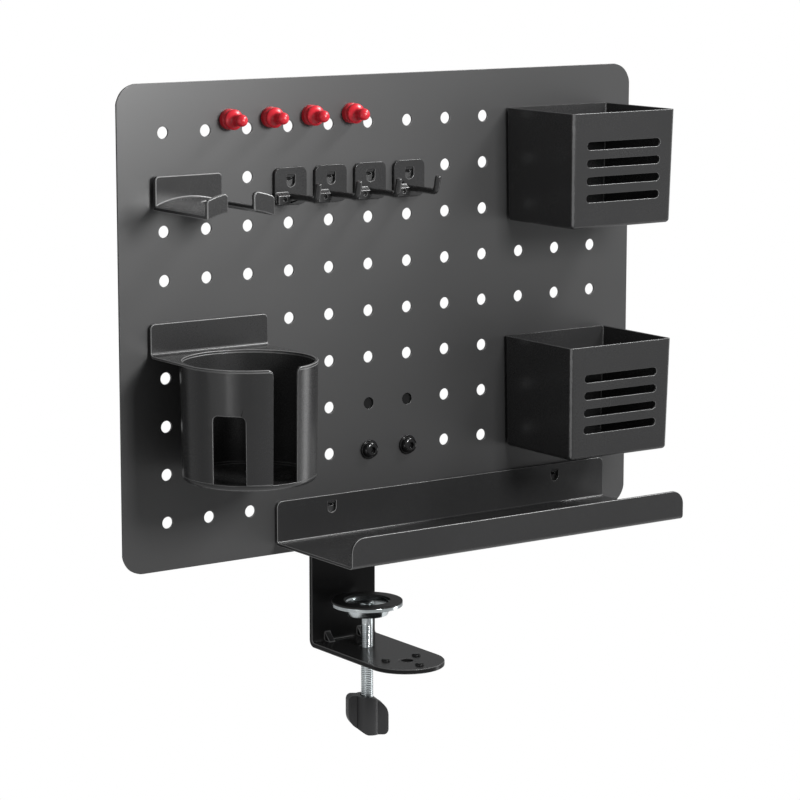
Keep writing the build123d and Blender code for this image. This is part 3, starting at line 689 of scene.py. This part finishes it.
# every other piece keeps its CAD shape and gets its edges broken. edge: width of the round in mm;
# rub: how strong the painted edge highlight is there; bends: the same painted highlight for bent corners;
# hung: it has tongues behind the board; backPlain: mm from the board that keep their sharp edges; full: the
# width isn't held back
binEdges = {"edge": 0.3, "bends": 0.9, "rub": 0.35, "backPlain": 4.0, "hung": True, "full": True}
edgesOf = {
    "upper_bin": binEdges, "lower_bin": binEdges,
    "shelf_tray": {"edge": 0.35, "rub": 0.7, "hung": True, "full": True},
    "cup_plate": {"edge": 0.45, "rub": 0.7, "hung": True, "full": True},
    "cup_wall": {"edge": 0.4, "rub": 0.7, "full": True},
    "cup_floor": {"edge": 0.3, "rub": 0.2}, "cup_pegs": {"edge": 0.3},
    "headphone_hanger": {"edge": 0.7, "rub": 0.75, "hung": True, "full": True}, "hanger_pegs": {"edge": 0.3},
    "clamp_bracket": {"edge": 0.5, "full": True}, "desk_pad": {"edge": 0.5}, "clamp_weld_nut": {"edge": 0.4},
    "spare_flange_nut": {"edge": 0.3}, "board_washers": {"edge": 0.25}, "board_screws": {"edge": 0.25},
    "board_nuts": {"edge": 0.3}, "pad_cup": {"edge": 0.3}, "pad_ring": {"edge": 0.3},
    "knob": {"edge": 1.2, "segments": 4},
}
for number in (1, 2, 3, 4):
    edgesOf[f"hook_plate_{number}"] = {"edge": 0.4, "rub": 0.35, "hung": True, "full": True}
    edgesOf[f"hook_rod_{number}"] = {"edge": 0.25, "rub": 0.1}
    edgesOf[f"magnet_grip_{number}"] = {"edge": 0.25}
    edgesOf[f"magnet_disc_{number}"] = {"edge": 0.25}
for nodeName, look in edgesOf.items():
    dressed(nodeName, look)
print("pieces dressed:", len(edgesOf))


studio = {"floorLow": -0.55, "floorSize": 3.2, "floorShade": 0.8, "floorRough": 0.7,
          "airColour": (0.98, 0.99, 1.0, 1.0), "ambient": 0.24, "glossShare": 0.14}


def seenDirect(tree, glossShare):
    # 1 for rays that look straight at the white or through something; gloss sees a share of it,
    # because the dark coats turn pale under all of it
    rays = tree.nodes.new("ShaderNodeLightPath")
    straight = Val(tree, rays.outputs["Is Camera Ray"]) + Val(tree, rays.outputs["Is Transmission Ray"])
    return (straight + Val(tree, rays.outputs["Is Glossy Ray"]) * glossShare).within()


def mixWhite(tree, shaded, white, output, glossShare):
    mix = tree.nodes.new("ShaderNodeMixShader")
    tree.links.new(seenDirect(tree, glossShare).socket, mix.inputs[0])
    tree.links.new(shaded.outputs[0], mix.inputs[1])
    tree.links.new(white.outputs[0], mix.inputs[2])
    tree.links.new(mix.outputs[0], tree.nodes[output].inputs["Surface"])


def paleFloor(look):
    half, low = look["floorSize"] / 2, look["floorLow"]
    corners = [(-half, -half, low), (half, -half, low), (half, half, low), (-half, half, low)]
    mesh = bpy.data.meshes.new("floor")
    mesh.from_pydata(corners, [], [(0, 1, 2, 3)])
    floor = newObject("floor", mesh)
    material = bpy.data.materials.new("paleFloor")
    material.use_nodes = True
    tree = material.node_tree
    surface = tree.nodes["Principled BSDF"]
    surface.inputs["Base Color"].default_value = (look["floorShade"],) * 3 + (1.0,)
    surface.inputs["Roughness"].default_value = look["floorRough"]
    glow = tree.nodes.new("ShaderNodeEmission")
    mixWhite(tree, surface, glow, "Material Output", look["glossShare"])
    mesh.materials.append(material)


def whiteSky(look):
    world = bpy.context.scene.world or bpy.data.worlds.new("studio")
    bpy.context.scene.world = world
    world.use_nodes = True
    tree = world.node_tree
    air = tree.nodes["Background"]
    air.inputs["Color"].default_value = look["airColour"]
    air.inputs["Strength"].default_value = look["ambient"]
    white = tree.nodes.new("ShaderNodeBackground")
    white.inputs["Color"].default_value = (1.0, 1.0, 1.0, 1.0)
    mixWhite(tree, air, white, "World Output", look["glossShare"])


paleFloor(studio)
whiteSky(studio)


def areaLamp(name, look):
    data = bpy.data.lights.new(name, "AREA")
    data.shape = "RECTANGLE"
    data.size, data.size_y = look["size"]
    data.energy = look["power"]
    lamp = newObject(name, data)
    lamp.location = look["at"]
    aim = Vector(look["to"]) - Vector(look["at"])
    lamp.rotation_euler = aim.to_track_quat("-Z", "Y").to_euler()
    lamp.visible_camera = False


lamps = {
    "keyLamp": {"at": (0.09, -0.88, 0.46), "to": (-0.2, 0.0, 0.30), "size": (0.22, 0.22), "power": 8.2},
    "leftPanel": {"at": (-1.43, -0.40, 0.2), "to": (0.0, -0.05, 0.2), "size": (1.4, 1.0), "power": 2.2},
    "edgeStrip": {"at": (-1.27, -0.62, 0.08), "to": (0.0, -0.05, 0.2), "size": (0.12, 0.5), "power": 0.8},
    "rightStrip": {"at": (1.0, -0.36, -0.02), "to": (-0.1, -0.07, 0.1), "size": (0.22, 0.9), "power": 2.2},
    "topPanel": {"at": (0.70, -0.40, 1.0), "to": (0.0, -0.05, 0.1), "size": (0.7, 0.22), "power": 17.0},
}
for name, look in lamps.items():
    areaLamp(name, look)

# the photograph's own viewpoint
photoView = {"lens": 133.7, "sensor": 36.0, "at": (-1.0757, -1.5753, 0.4250),
             "right": (0.8188, -0.5741, 0.0008), "upward": (0.0971, 0.1398, 0.9854)}


def photoCamera(look):
    data = bpy.data.cameras.new("photoCamera")
    data.lens = look["lens"]
    data.sensor_width = data.sensor_height = look["sensor"]
    camera = newObject("photoCamera", data)
    right, upward = Vector(look["right"]), Vector(look["upward"])
    turn = Matrix((right, upward, right.cross(upward))).transposed().to_4x4()
    camera.matrix_world = Matrix.Translation(look["at"]) @ turn
    bpy.context.scene.camera = camera


photoCamera(photoView)
bpy.context.scene.view_settings.view_transform = "Standard"
print("camera and lamps set")
